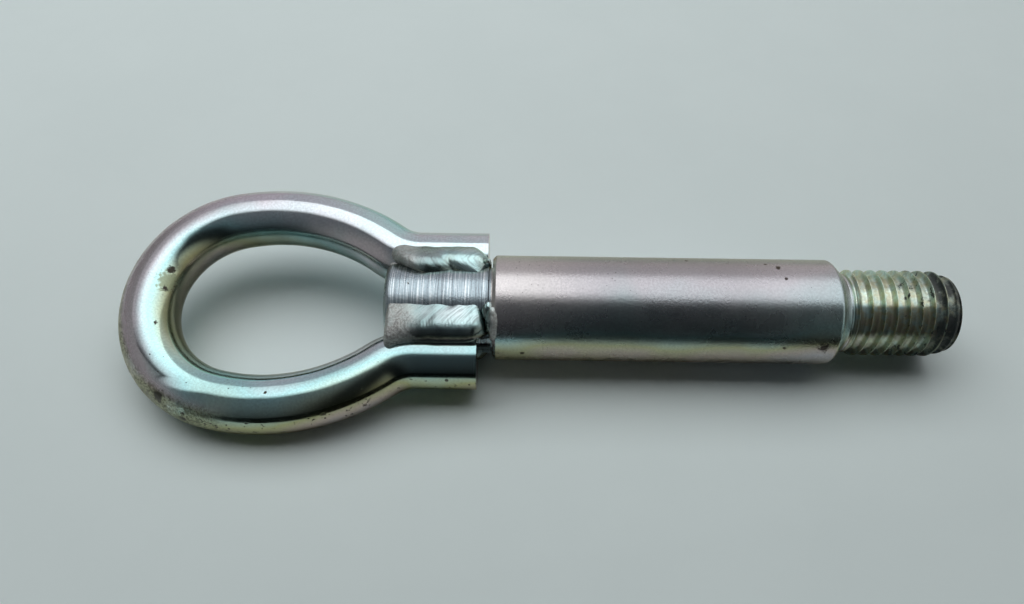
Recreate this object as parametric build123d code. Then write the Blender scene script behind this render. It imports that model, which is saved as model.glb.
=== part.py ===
from build123d import *
import math
import os

# Screw-in tow eye for a car: a round bar bent to an eye, its two legs laid in half-round grooves along
# the spigot of a turned shank and welded there. The shank screws into the car's bumper beam.
# Lengths are in millimetres and angles in degrees. The origin is on the shank's axis where the thread
# starts, +X runs out of the threaded end, +Z is up. The part lies as it comes to rest, on its barrel
# and on the near (-Y) side of its eye.

# Eye bar
bar_diameter = 12.0
eye_inner_width = 30.7
eye_inner_length = 44.1         # from the spigot's free end to the inside of the bow
neck_bend_radius = 12.0         # to the bar's centreline
neck_bend_angle = 35.5          # how far each leg turns outward
side_run_on = 12.8              # how far a side's bend runs on past the eye's widest point
leg_spacing = 22.8              # between the centrelines of the legs
eye_offset = -0.5               # how far the eye was welded off the shank's axis, along its own width
near_leg_gap = 3.0              # from a leg's cut end to the barrel
far_leg_gap = 1.1
leg_end_chamfer = 0.5

# Shank
spigot_diameter = 18.0
spigot_length = 22.0
spigot_end_round = 1.4
groove_clearance = 0.1          # of a groove around the leg that lies in it
relief_width = 0.8              # turned relief at the spigot's root
relief_depth = 0.5
barrel_diameter = 22.0
barrel_length = 69.7
barrel_end_chamfer = 0.7
shoulder_length = 2.7           # cone from the barrel down to the thread's run-out
shoulder_edge_round = 0.8
runout_diameter = 16.6
runout_length = 1.6
thread_diameter = 18.0          # plain cylinder over the crests
thread_length = 21.0
thread_end_diameter = 15.8
thread_end_length = 3.2

# Weld beads
weld_start = 0.5                # from the spigot's free end to a bead
weld_stop = 0.3                 # from a bead to the barrel
near_spigot_toe = 20.0          # where a bead ends on the spigot, from the spigot's crest
near_leg_toe = 16.0             # where it ends on the leg, from the leg's crest towards the spigot
near_weld_crown = 2.1           # height of a bead over the line between its toes
far_spigot_toe = 29.0
far_leg_toe = -3.0
far_weld_crown = 2.0
weld_end_slack = 0.4            # of a bead's round ends outside its toes

bar_radius = bar_diameter / 2
spigot_radius = spigot_diameter / 2
barrel_radius = barrel_diameter / 2
groove_radius = bar_radius + groove_clearance
runout_x = -runout_length
shoulder_x = runout_x - shoulder_length
barrel_x = shoulder_x - barrel_length
spigot_x = barrel_x - spigot_length
bow_x = spigot_x - eye_inner_length - bar_radius
half_eye = eye_inner_width / 2 + bar_radius
half_legs = leg_spacing / 2
near_leg_y = eye_offset - half_legs
far_leg_y = eye_offset + half_legs
near_leg_x = barrel_x - near_leg_gap
far_leg_x = barrel_x - far_leg_gap

# The part rolls on its barrel until the near side of the eye meets the floor.
rest_roll = math.degrees(math.asin((barrel_radius - bar_radius) / (half_eye - eye_offset)))


def eye_bar():
    """Round bar bent in one plane: leg, neck, side and bow, then side, neck and leg again."""
    turn = math.radians(neck_bend_angle)
    side_bend_radius = (half_eye - half_legs) / (1 - math.cos(turn)) - neck_bend_radius
    # The bow is a little tighter than the eye is wide, because each side's bend runs on into it.
    run_on = math.radians(side_run_on)
    centre_step = (side_bend_radius - half_eye) / math.cos(run_on)
    bow_bend_radius = side_bend_radius - centre_step
    widest_x = bow_x + bow_bend_radius + centre_step * math.sin(run_on)
    neck_x = widest_x + (side_bend_radius + neck_bend_radius) * math.sin(turn)
    bends = (
        (neck_bend_radius, -neck_bend_angle),
        (side_bend_radius, neck_bend_angle + side_run_on),
        (bow_bend_radius, 180 - 2 * side_run_on),
        (side_bend_radius, neck_bend_angle + side_run_on),
        (neck_bend_radius, -neck_bend_angle),
    )
    run = Line((far_leg_x, far_leg_y), (neck_x, far_leg_y))
    bar = extrude(bar_section(run), run.length)
    for radius, angle in bends:
        run = JernArc(run @ 1, run % 1, radius, angle)
        bend_axis = Axis(run.arc_center, (0, 0, math.copysign(1, angle)))
        bar += revolve(bar_section(run), bend_axis, abs(angle))
    run = Line(run @ 1, (near_leg_x, near_leg_y))
    bar += extrude(bar_section(run), run.length)
    first_end, last_end = sorted((near_leg_x, far_leg_x))
    end_edges = bar.edges().filter_by_position(Axis.X, first_end, last_end)
    return chamfer(end_edges.filter_by(GeomType.CIRCLE), leg_end_chamfer)


def bar_section(run):
    """Round section of the bar at the start of one run of its centreline."""
    return Plane(origin=run @ 0, z_dir=run % 0) * Circle(bar_radius)


def shank():
    """Turned in one piece: grooved spigot, barrel, shoulder and thread."""
    runout_radius = runout_diameter / 2
    thread_radius = thread_diameter / 2
    relief_radius = spigot_radius - relief_depth
    spigot_rim = (spigot_x, spigot_radius)
    shoulder_edge = (shoulder_x, barrel_radius)
    outline = Polyline(
        (spigot_x, 0),
        spigot_rim,
        (barrel_x - relief_width, spigot_radius),
        (barrel_x - relief_width, relief_radius),
        (barrel_x, relief_radius),
        (barrel_x, barrel_radius - barrel_end_chamfer),
        (barrel_x + barrel_end_chamfer, barrel_radius),
        shoulder_edge,
        (runout_x, runout_radius),
        (0, runout_radius),
        (0, thread_radius),
        (thread_length - thread_end_length, thread_radius),
        (thread_length, thread_end_diameter / 2),
        (thread_length, 0),
        close=True,
    )
    profile = make_face(outline)
    profile = fillet(profile.vertices().sort_by_distance(spigot_rim)[0], spigot_end_round)
    profile = fillet(profile.vertices().sort_by_distance(shoulder_edge)[0], shoulder_edge_round)
    body = revolve(profile, axis=Axis.X)
    for leg_y in (near_leg_y, far_leg_y):
        groove = Plane.YZ.offset(spigot_x) * Pos(leg_y, 0) * Circle(groove_radius)
        body -= extrude(groove, spigot_length)
    return body


def weld_bead(leg_y, face, spigot_toe_angle, leg_toe_angle, crown_height, carriers):
    """Fillet of weld along the valley between one leg and the spigot, on the top (1) or underside (-1)."""
    side = math.copysign(1, leg_y)
    spigot_toe_turn = math.radians(spigot_toe_angle)
    leg_toe_turn = math.radians(leg_toe_angle)
    spigot_toe = Vector(side * spigot_radius * math.sin(spigot_toe_turn),
                        face * spigot_radius * math.cos(spigot_toe_turn))
    leg_toe = Vector(leg_y - side * bar_radius * math.sin(leg_toe_turn),
                     face * bar_radius * math.cos(leg_toe_turn))
    # The root is where the spigot's surface runs into the groove.
    reach = abs(leg_y)
    root_y = (spigot_radius ** 2 - groove_radius ** 2 + reach ** 2) / (2 * reach)
    root = Vector(side * root_y, face * math.sqrt(spigot_radius ** 2 - root_y ** 2))
    middle = (spigot_toe + leg_toe) / 2
    outward = (middle - root).normalized()
    crown = middle + outward * crown_height
    crown_arc = ThreePointArc(spigot_toe, crown, leg_toe)
    section = make_face([crown_arc, Line(leg_toe, root), Line(root, spigot_toe)])
    start_x = spigot_x + weld_start
    length = barrel_x - weld_stop - start_x
    width = (leg_toe - spigot_toe).length + 2 * weld_end_slack
    bead = extrude(Plane.YZ.offset(start_x) * section, length)
    face_plane = Plane((start_x + length / 2, middle.X, middle.Y), (1, 0, 0), (0, outward.X, outward.Y))
    bead &= extrude(face_plane * SlotOverall(length, width), spigot_radius, both=True)
    for carrier in carriers:
        bead -= carrier
    return bead


bar = eye_bar()
turned_shank = shank()
pieces = {"eye_bar": bar, "shank": turned_shank}
for face_name, face in (("top", 1), ("under", -1)):
    pieces[f"weld_{face_name}_near"] = weld_bead(
        near_leg_y, face, near_spigot_toe, near_leg_toe, near_weld_crown, (turned_shank, bar))
    pieces[f"weld_{face_name}_far"] = weld_bead(
        far_leg_y, face, far_spigot_toe, far_leg_toe, far_weld_crown, (turned_shank, bar))

os.makedirs("parts", exist_ok=True)
for name, piece in pieces.items():
    export_step(Rot(rest_roll, 0, 0) * piece, f"parts/{name}.step")
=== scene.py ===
# Screw-in tow eye of a car, lying on a pale floor: a bent bar welded to a turned and threaded shank.
# Lengths are in metres. X runs along the shank's axis and out of its thread, Z is up, and the eye lies
# on the -X side, rolled until its near (-Y) side meets the floor.
import math

import bmesh
import bpy
from mathutils import Matrix, Vector, noise


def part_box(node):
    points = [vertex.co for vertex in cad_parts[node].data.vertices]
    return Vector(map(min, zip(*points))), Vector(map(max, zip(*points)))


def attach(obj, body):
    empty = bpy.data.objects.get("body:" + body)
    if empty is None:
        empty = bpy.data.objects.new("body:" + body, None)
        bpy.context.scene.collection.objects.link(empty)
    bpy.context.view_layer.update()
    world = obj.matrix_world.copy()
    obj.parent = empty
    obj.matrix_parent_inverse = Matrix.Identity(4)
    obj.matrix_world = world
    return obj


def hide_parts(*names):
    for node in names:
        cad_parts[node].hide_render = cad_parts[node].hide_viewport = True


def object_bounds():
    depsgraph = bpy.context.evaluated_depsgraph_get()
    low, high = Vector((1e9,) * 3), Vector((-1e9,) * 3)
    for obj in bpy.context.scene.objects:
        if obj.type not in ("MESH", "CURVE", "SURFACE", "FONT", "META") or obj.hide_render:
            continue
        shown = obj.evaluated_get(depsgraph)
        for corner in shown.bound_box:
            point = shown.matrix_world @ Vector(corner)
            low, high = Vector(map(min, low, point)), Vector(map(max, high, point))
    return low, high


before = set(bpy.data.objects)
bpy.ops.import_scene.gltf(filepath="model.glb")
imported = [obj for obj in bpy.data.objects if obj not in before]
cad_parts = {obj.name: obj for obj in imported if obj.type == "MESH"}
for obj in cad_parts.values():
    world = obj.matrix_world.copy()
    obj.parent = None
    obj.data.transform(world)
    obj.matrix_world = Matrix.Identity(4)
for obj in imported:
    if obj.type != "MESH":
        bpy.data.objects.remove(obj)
cad_low, cad_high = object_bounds()


# Shank. Turned from round steel in one piece: a spigot with two half-round grooves for the eye's legs,
# a plain barrel, a coned shoulder and an M18 x 2.5 left-hand thread. It is zinc plated all over, with
# the thin passivate on top that gives the plate its pink, green and straw tints.
MM = 0.001
shank_low, shank_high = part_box("shank")
spigot_end = shank_low.x
thread_end = shank_high.x
barrel_radius = shank_high.z
spigot_radius = 9.0 * MM
spigot_length = 22.0 * MM
spigot_round = 1.4 * MM
relief_width = 0.8 * MM
relief_radius = 8.5 * MM
barrel_start = spigot_end + spigot_length
barrel_chamfer = 0.7 * MM
shoulder_start = -4.3 * MM
runout_start = -1.6 * MM
runout_radius = 8.3 * MM
edge_round = 0.15 * MM
shoulder_round = 0.8 * MM
thread_pitch = 2.5 * MM
thread_radius = 9.0 * MM
thread_root_radius = 7.65 * MM
thread_crest_row = 0.75 * MM
chamfer_end = thread_end - 0.3 * MM
chamfer_end_radius = 7.9 * MM
chamfer_slope = 0.37
end_face_radius = 7.55 * MM
turn_steps = 192
thread_rows = 24

bar_radius = 6.0 * MM
groove_radius = bar_radius + 0.1 * MM
near_leg_y = -11.9 * MM
far_leg_y = 10.9 * MM
half_eye = 21.35 * MM
eye_offset = -0.5 * MM
rest_roll = math.asin((barrel_radius - bar_radius) / (half_eye - eye_offset))


def add_node(tree, kind, inputs=(), **settings):
    """Adds a node with its settings, and sets or links its inputs, given by name or number."""
    made = tree.nodes.new(kind)
    for name, value in settings.items():
        setattr(made, name, value)
    for name, value in dict(inputs).items():
        if isinstance(value, bpy.types.NodeSocket):
            tree.links.new(value, made.inputs[name])
        else:
            made.inputs[name].default_value = value
    return made


def maths(tree, operation, *values, clamp=False):
    """Output of one Math node."""
    made = add_node(tree, "ShaderNodeMath", enumerate(values), operation=operation, use_clamp=clamp)
    return made.outputs[0]


def times(tree, first, second):
    """Product of two values."""
    return maths(tree, "MULTIPLY", first, second)


def most(tree, first, second):
    """The greater of two values."""
    return maths(tree, "MAXIMUM", first, second)


def vector_maths(tree, operation, *values):
    """Output of one Vector Math node: a value where the operation gives one, or else a vector."""
    made = add_node(tree, "ShaderNodeVectorMath", enumerate(values), operation=operation)
    return made.outputs["Value" if operation in ("DOT_PRODUCT", "LENGTH", "DISTANCE") else "Vector"]


def scaled(tree, vector, factor):
    """Vector times a value."""
    made = add_node(tree, "ShaderNodeVectorMath", ((0, vector), ("Scale", factor)), operation="SCALE")
    return made.outputs["Vector"]


def split(tree, vector):
    """Outputs X, Y and Z of a vector."""
    return add_node(tree, "ShaderNodeSeparateXYZ", ((0, vector),)).outputs


def place_on_piece(tree):
    """Place in the piece's own coordinates."""
    return add_node(tree, "ShaderNodeTexCoord").outputs["Object"]


def facing_of(tree):
    """Normal of the surface, before any bumps."""
    return add_node(tree, "ShaderNodeNewGeometry").outputs["Normal"]


def connect(tree, shader, **values):
    """Links values to a shader's inputs, named with underscores for spaces."""
    for name, value in values.items():
        tree.links.new(value, shader[name.replace("_", " ")])


def ramp(tree, value, low, high, to_low=0.0, to_high=1.0, kind="SMOOTHSTEP"):
    """Output of a clamped Map Range node from low..high to to_low..to_high."""
    made = add_node(tree, "ShaderNodeMapRange", (
        ("Value", value), ("From Min", low), ("From Max", high), ("To Min", to_low), ("To Max", to_high),
    ), interpolation_type=kind)
    return made.outputs["Result"]


def mix_colour(tree, share, first, second, blend="MIX"):
    """Output of a colour Mix node; share is how much of the second colour shows."""
    made = add_node(tree, "ShaderNodeMix", data_type="RGBA", blend_type=blend)
    for socket, value in (("Factor_Float", share), ("A_Color", first), ("B_Color", second)):
        target = next(s for s in made.inputs if s.identifier == socket)
        if isinstance(value, bpy.types.NodeSocket):
            tree.links.new(value, target)
        else:
            target.default_value = value
    return next(s for s in made.outputs if s.identifier == "Result_Color")


def noise_value(tree, coords, scale, detail=2.0, rough=0.5):
    """Value of a Noise Texture, about 0.5."""
    made = add_node(tree, "ShaderNodeTexNoise", (
        ("Vector", coords), ("Scale", scale), ("Detail", detail), ("Roughness", rough),
    ))
    return made.outputs["Fac"]


def new_group(name, inputs, outputs):
    """Empty shader node group with named float inputs and typed outputs."""
    tree = bpy.data.node_groups.new(name, "ShaderNodeTree")
    for label, value in inputs:
        socket = tree.interface.new_socket(label, in_out="INPUT", socket_type="NodeSocketFloat")
        socket.default_value = value
    for label, kind in outputs:
        tree.interface.new_socket(label, in_out="OUTPUT", socket_type=kind)
    return tree, tree.nodes.new("NodeGroupInput").outputs, tree.nodes.new("NodeGroupOutput").inputs


def passivate_group():
    """Plate colour with the passivate's tints, which shift with the way each face points; downward faces
    take darker olive and tan, partly tint and partly painted shade.
    """
    tree, given, out = new_group(
        "passivate_tint",
        (("Film", 0.45), ("Rinse", 0.1), ("Sag", 0.3), ("Lean X", 0.0), ("Drift Y", 0.0),
         ("Patch Scale", 60.0), ("Patches", 0.3), ("Strength", 0.8)),
        (("Color", "NodeSocketColor"),),
    )
    coords = place_on_piece(tree)
    facing = facing_of(tree)
    tilt = vector_maths(tree, "DOT_PRODUCT", facing, (0.0, -0.87, -0.5))
    lean = split(tree, facing)["X"]
    patches = maths(tree, "SUBTRACT", noise_value(tree, coords, given["Patch Scale"], 3.0, 0.55), 0.5)
    film = maths(tree, "MULTIPLY_ADD", tilt, given["Rinse"], given["Film"])
    # Faces turned down shift to the olive and tan stops, whose darkness is painted shade.
    downward_share = ramp(tree, tilt, 0.45, 0.95)
    film = maths(tree, "MULTIPLY_ADD", downward_share, given["Sag"], film)
    film = maths(tree, "MULTIPLY_ADD", lean, given["Lean X"], film)
    film = maths(tree, "MULTIPLY_ADD", split(tree, coords)["Y"], given["Drift Y"], film)
    patches = times(tree, patches, maths(tree, "ADD", downward_share, 1.0))
    film = maths(tree, "MULTIPLY_ADD", patches, given["Patches"], film)
    tints = add_node(tree, "ShaderNodeValToRGB", ((0, film),))
    stops = (
        (0.02, (0.57, 0.52, 0.58, 1)),
        (0.25, (0.68, 0.66, 0.72, 1)),
        (0.45, (0.40, 0.69, 0.71, 1)),
        (0.58, (0.47, 0.60, 0.48, 1)),
        (0.70, (0.45, 0.45, 0.22, 1)),
        (0.84, (0.50, 0.40, 0.34, 1)),
        (0.98, (0.44, 0.41, 0.45, 1)),
    )
    while len(tints.color_ramp.elements) < len(stops):
        tints.color_ramp.elements.new(0.5)
    for element, (place, colour) in zip(tints.color_ramp.elements, stops):
        element.position = place
        element.color = colour
    tinted = mix_colour(tree, given["Strength"], (0.64, 0.65, 0.65, 1), tints.outputs["Color"])
    tree.links.new(tinted, out["Color"])
    return tree


def pits_group():
    """Sparse dark pits and specks in the plate, as a mask and a height."""
    tree, given, out = new_group(
        "plate_pits",
        (("Scale", 900.0), ("Spread", 90.0), ("Amount", 0.5)),
        (("Mask", "NodeSocketFloat"), ("Height", "NodeSocketFloat")),
    )
    coords = place_on_piece(tree)
    cells = add_node(tree, "ShaderNodeTexVoronoi", (("Vector", coords), ("Scale", given["Scale"])))
    where = noise_value(tree, coords, given["Spread"], 3.0, 0.6)
    size = ramp(tree, where, 0.45, 0.75, 0.0, 0.55, "LINEAR")
    size = times(tree, size, given["Amount"])
    inner = times(tree, size, 0.5)
    mask = ramp(tree, cells.outputs["Distance"], size, inner)
    tree.links.new(mask, out["Mask"])
    tree.links.new(times(tree, mask, -1.0), out["Height"])
    return tree


def scratches_group():
    """Fine handling scratches in two directions and a soft mottle, as a height and a roughness change."""
    tree, given, out = new_group(
        "handling_marks",
        (("Scale", 120.0), ("Grain", 2200.0)),
        (("Height", "NodeSocketFloat"), ("Mottle", "NodeSocketFloat")),
    )
    coords = place_on_piece(tree)
    strokes = []
    for turn, stretch in ((0.5, (1.0, 14.0, 14.0)), (-0.9, (16.0, 1.2, 1.2))):
        turned = add_node(tree, "ShaderNodeMapping", (
            ("Vector", coords), ("Rotation", (turn, turn, turn)), ("Scale", stretch),
        )).outputs["Vector"]
        fine = noise_value(tree, turned, given["Scale"], 4.0, 0.7)
        strokes.append(ramp(tree, fine, 0.62, 0.72))
    grain = noise_value(tree, coords, given["Grain"], 2.0, 0.6)
    height = maths(tree, "SUBTRACT", times(tree, grain, 0.5), maths(tree, "ADD", *strokes))
    mottle = noise_value(tree, coords, given["Scale"], 4.0, 0.6)
    tree.links.new(height, out["Height"])
    tree.links.new(mottle, out["Mottle"])
    return tree


passivate_tint = passivate_group()
plate_pits = pits_group()
handling_marks = scratches_group()


def place_group(tree, group, **values):
    """Outputs of a node group placed in a material with its own values."""
    made = add_node(tree, "ShaderNodeGroup", node_tree=group)
    for name, value in values.items():
        socket = made.inputs[name.replace("_", " ")]
        if isinstance(value, bpy.types.NodeSocket):
            tree.links.new(value, socket)
        else:
            socket.default_value = value
    return made.outputs


def new_material(name):
    """Material with a bare Principled BSDF; gives back the material, its tree and the shader's inputs."""
    material = bpy.data.materials.new(name)
    material.use_nodes = True
    shader = material.node_tree.nodes["Principled BSDF"]
    return material, material.node_tree, shader.inputs


def bump(tree, height, strength, distance, normal=None):
    """Normal of a Bump node."""
    inputs = [("Height", height), ("Strength", strength), ("Distance", distance)]
    if normal is not None:
        inputs.append(("Normal", normal))
    return add_node(tree, "ShaderNodeBump", inputs).outputs["Normal"]


def spot_mask(tree, coords, spots, fray=0.4):
    """Mask of single marks, each given by its place and radius, with frayed edges."""
    frayed = ramp(tree, noise_value(tree, coords, 1400.0, 3.0, 0.6), 0.3, 0.7, 1 - fray, 1 + fray)
    mask = 0.0
    for place, size in spots:
        away = times(tree, vector_maths(tree, "DISTANCE", coords, place), frayed)
        mask = most(tree, mask, ramp(tree, away, size, 0.5 * size))
    return mask


marks_and_gap_shade = (
    ((-0.0072, -0.0107, 0.0024), 1.3 * MM),
    ((-0.0152, -0.0108, 0.0023), 0.5 * MM),
    ((-0.0160, 0.0033, 0.0105), 0.65 * MM),
    ((-0.0182, 0.0046, 0.0100), 0.4 * MM),
    ((-0.0152, 0.0000, 0.0110), 0.4 * MM),
    ((-0.0342, 0.0057, 0.0094), 0.5 * MM),
    ((-0.0678, -0.0110, -0.0006), 0.6 * MM),
    # This last and largest mark is painted shade in the gap between the near leg's end and the barrel.
    ((-0.0760, -0.0080, -0.0020), 4.2 * MM),
)


black = (0, 0, 0, 1)
spot_colour = (0.035, 0.025, 0.022, 1)
thread_dirt_and_shade_colour = (0.026, 0.036, 0.040, 1)
grain_colour = (0.10, 0.10, 0.11, 1)
line_shade_colour = (0.14, 0.16, 0.18, 1)
line_glint_colour = (0.86, 0.92, 0.95, 1)
spigot_tint = (0.66, 0.86, 0.96, 1)
end_highlight_tint = (0.80, 0.77, 0.72, 1)
thread_tint = (0.80, 0.86, 0.70, 1)
shank_edge_tint = (0.95, 0.90, 0.72, 1)


def shank_finish():
    """Satin zinc over fine turning: lines on the spigot, grease and dirt in the last turns of thread, and
    painted shade and highlight on the barrel and thread.
    """
    material, tree, shader = new_material("zinc_on_turned_steel")
    coords = place_on_piece(tree)
    place = split(tree, coords)
    facing = split(tree, facing_of(tree))
    in_thread = ramp(tree, place["X"], runout_start, 0.0)
    plain = maths(tree, "SUBTRACT", 1.0, in_thread)
    spigot = ramp(tree, place["X"], barrel_start, barrel_start - 0.5 * MM)

    streaks = ramp(tree, noise_value(tree, coords, 520.0, 3.0, 0.6), 0.35, 0.65, 0.10, 0.36)
    film = maths(tree, "ADD", ramp(tree, place["X"], -75.0 * MM, -45.0 * MM, 0.16, 0.34),
                 ramp(tree, place["X"], -22.0 * MM, -6.0 * MM, 0.0, 0.05))
    film = maths(tree, "MULTIPLY_ADD", in_thread, streaks, film)
    tint = place_group(
        tree, passivate_tint, Film=film, Rinse=times(tree, plain, 0.16), Sag=times(tree, plain, 0.41),
        Patch_Scale=38.0, Patches=0.4)["Color"]
    tint = mix_colour(tree, times(tree, spigot, 0.8), tint, spigot_tint)
    # Painted highlight: upward faces at the barrel's eye end are lightened to a pale cream.
    end_highlight = times(tree, ramp(tree, place["X"], -50.0 * MM, -68.0 * MM, 0.0, 0.4),
                     ramp(tree, facing["Z"], 0.3, 0.7))
    end_highlight = times(tree, end_highlight, maths(tree, "SUBTRACT", 1.0, spigot))
    tint = mix_colour(tree, end_highlight, tint, end_highlight_tint)
    # Painted shade: upward faces of the spigot and barrel are darkened towards black, which dims their
    # highlight.
    top_shade_share = maths(tree, "SUBTRACT", ramp(tree, place["X"], -75.0 * MM, -48.0 * MM, 0.22, 0.44),
                  ramp(tree, place["X"], -28.0 * MM, -12.0 * MM, 0.0, 0.10))
    top_shade_share = maths(tree, "MULTIPLY_ADD", spigot, 0.24, top_shade_share)
    upward = times(tree, ramp(tree, facing["Z"], 0.1, 0.5), times(tree, top_shade_share, plain))
    tint = mix_colour(tree, upward, tint, black)
    marks = place_group(tree, handling_marks, Scale=110.0, Grain=2600.0)
    pits = place_group(tree, plate_pits, Scale=900.0, Spread=110.0, Amount=0.4)
    spots = most(tree, times(tree, pits["Mask"], 0.6), spot_mask(tree, coords, marks_and_gap_shade))
    colour = mix_colour(tree, times(tree, spots, 0.95), tint, spot_colour)

    # Dirt and grease in the thread, thickest in its roots and on its last turns, and painted shade in a
    # band round its near side; outside that band the thread is painted paler, partly tint and partly
    # painted highlight.
    radius = vector_maths(tree, "LENGTH", vector_maths(tree, "MULTIPLY", coords, (0, 1, 1)))
    in_root = ramp(tree, radius, thread_radius - 0.12 * MM, thread_radius - 0.5 * MM)
    blotch = noise_value(tree, coords, 400.0, 4.0, 0.65)
    greased = times(tree, ramp(tree, place["X"], 13.5 * MM, 17.0 * MM),
                    ramp(tree, in_root, 0.0, 0.3, 0.5, 1.0))
    y_share = maths(tree, "DIVIDE", place["Y"], radius)
    # Painted shade: a band round the thread's near side, darkest in its roots.
    near_band_shade = times(tree, ramp(tree, y_share, -0.36, -0.50), ramp(tree, y_share, -0.97, -0.90))
    # Pale tint and painted highlight on the thread outside that band.
    pale_tint_and_highlight = times(tree, in_thread, ramp(tree, near_band_shade, 0.0, 1.0, 0.42, 0.0))
    colour = mix_colour(tree, pale_tint_and_highlight, colour, thread_tint)
    dirt_and_shade = times(tree, in_root, ramp(tree, blotch, 0.62, 0.42, 0.0, 0.22))
    for layer in (
        times(tree, times(tree, in_root, near_band_shade), 0.62),
        times(tree, ramp(tree, place["X"], 7.0 * MM, 10.0 * MM), ramp(tree, blotch, 0.58, 0.64)),
        times(tree, ramp(tree, place["X"], 6.0 * MM, 12.0 * MM), ramp(tree, blotch, 0.40, 0.60, 0.0, 0.45)),
        times(tree, greased, ramp(tree, blotch, 0.30, 0.55, 0.6, 1.0)),
    ):
        dirt_and_shade = most(tree, dirt_and_shade, layer)
    dirt_and_shade = times(tree, dirt_and_shade, in_thread)
    colour = mix_colour(tree, dirt_and_shade, colour, thread_dirt_and_shade_colour)

    # Lines of turning, on the spigot and beside the shoulder, with painted shade in their grooves and
    # painted glints between them.
    lines = add_node(tree, "ShaderNodeMapping", (("Vector", coords), ("Scale", (1.0, 0.02, 0.02))))
    lines = noise_value(tree, lines.outputs["Vector"], 4200.0, 2.0, 0.6)
    runout = ramp(tree, place["X"], shoulder_start, shoulder_start + 0.5 * MM)
    runout = times(tree, runout, ramp(tree, place["X"], 1.6 * MM, 0.4 * MM))
    in_lines = most(tree, spigot, times(tree, runout, 0.7))
    groove_shade = times(tree, ramp(tree, lines, 0.52, 0.64), in_lines)
    colour = mix_colour(tree, times(tree, groove_shade, 0.6), colour, line_shade_colour)
    glints = times(tree, ramp(tree, lines, 0.44, 0.36), in_lines)
    colour = mix_colour(tree, times(tree, glints, 0.6), colour, line_glint_colour)
    normal = bump(tree, times(tree, lines, ramp(tree, in_lines, 0, 1, 0.05, 1.0)), 0.7, 0.07 * MM)
    normal = bump(tree, marks["Height"], 0.25, 0.012 * MM, normal)
    grain = noise_value(tree, coords, 2300.0, 2.0, 0.65)
    normal = bump(tree, grain, 0.7, 0.042 * MM, normal)
    colour = mix_colour(tree, ramp(tree, grain, 0.35, 0.65, 0.0, 0.16), colour, grain_colour)
    rough = ramp(tree, marks["Mottle"], 0.3, 0.7, 0.25, 0.30)
    rough = maths(tree, "ADD", rough, times(tree, dirt_and_shade, 0.2))
    connect(tree, shader, Base_Color=colour, Roughness=rough, Normal=normal,
            Metallic=ramp(tree, dirt_and_shade, 0.3, 1.0, 1.0, 0.35))
    shader["Specular Tint"].default_value = shank_edge_tint
    return material


def rounded(corners):
    """Outline of (x, radius) points through corners given as (x, radius, rounding), with arcs there."""
    arc_steps = 6
    outline = [Vector(corners[0][:2])]
    for before, corner, after in zip(corners, corners[1:], corners[2:]):
        point = Vector(corner[:2])
        back = (Vector(before[:2]) - point).normalized()
        ahead = (Vector(after[:2]) - point).normalized()
        half_turn = back.angle(ahead) / 2
        reach = corner[2] / math.tan(half_turn)
        centre = point + (back + ahead).normalized() * corner[2] / math.sin(half_turn)
        first = point + back * reach - centre
        last = point + ahead * reach - centre
        outline.append(point + back * reach * 1.4)
        for step in range(arc_steps + 1):
            outline.append(centre + first.lerp(last, step / arc_steps).normalized() * corner[2])
        outline.append(point + ahead * reach * 1.4)
    outline.append(Vector(corners[-1][:2]))
    return outline


def groove_radius_at(angle):
    """How far from the axis the spigot reaches at an angle, with its two grooves taken out."""
    reach = spigot_radius
    for leg_y in (near_leg_y, far_leg_y):
        off = angle - rest_roll - (math.pi if leg_y < 0 else 0)
        under_root = groove_radius ** 2 - (leg_y * math.sin(off)) ** 2
        if math.cos(off) > 0 and under_root > 0:
            reach = min(reach, abs(leg_y) * math.cos(off) - math.sqrt(under_root))
    return reach


def lathe(mesh, outline, trim=None):
    """Adds rings about X through the points of an outline, and gives back the rings."""
    rings = []
    for x, radius in outline:
        ring = []
        for step in range(turn_steps):
            angle = math.tau * step / turn_steps
            reach = min(radius, trim(angle)) if trim else radius
            ring.append(mesh.verts.new((x, reach * math.cos(angle), reach * math.sin(angle))))
        rings.append(ring)
    return rings


def skin(mesh, rings):
    """Adds the faces between rings that follow each other."""
    for first, second in zip(rings, rings[1:]):
        for step in range(len(first)):
            after = (step + 1) % len(first)
            mesh.faces.new((first[step], first[after], second[after], second[step]))


def shank_blank():
    """Turned blank without its thread, open where the thread goes."""
    mesh = bmesh.new()
    spigot_outline = rounded((
        (spigot_end, 0, 0),
        (spigot_end, spigot_radius, spigot_round),
        (barrel_start - relief_width, spigot_radius, edge_round),
        (barrel_start - relief_width, relief_radius, edge_round),
        (barrel_start, relief_radius, 0),
    ))
    barrel_outline = rounded((
        (barrel_start, relief_radius, 0),
        (barrel_start, barrel_radius - barrel_chamfer, edge_round),
        (barrel_start + barrel_chamfer, barrel_radius, edge_round),
        (shoulder_start, barrel_radius, shoulder_round),
        (runout_start, runout_radius, 0),
    ))
    end_outline = rounded((
        (chamfer_end, chamfer_end_radius, 0),
        (thread_end, end_face_radius, edge_round / 3),
        (thread_end, 0, 0),
    ))
    grooved = lathe(mesh, spigot_outline, groove_radius_at)
    skin(mesh, grooved + lathe(mesh, barrel_outline))
    skin(mesh, lathe(mesh, end_outline))
    made = bpy.data.meshes.new("shank")
    mesh.to_mesh(made)
    mesh.free()
    return made


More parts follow.
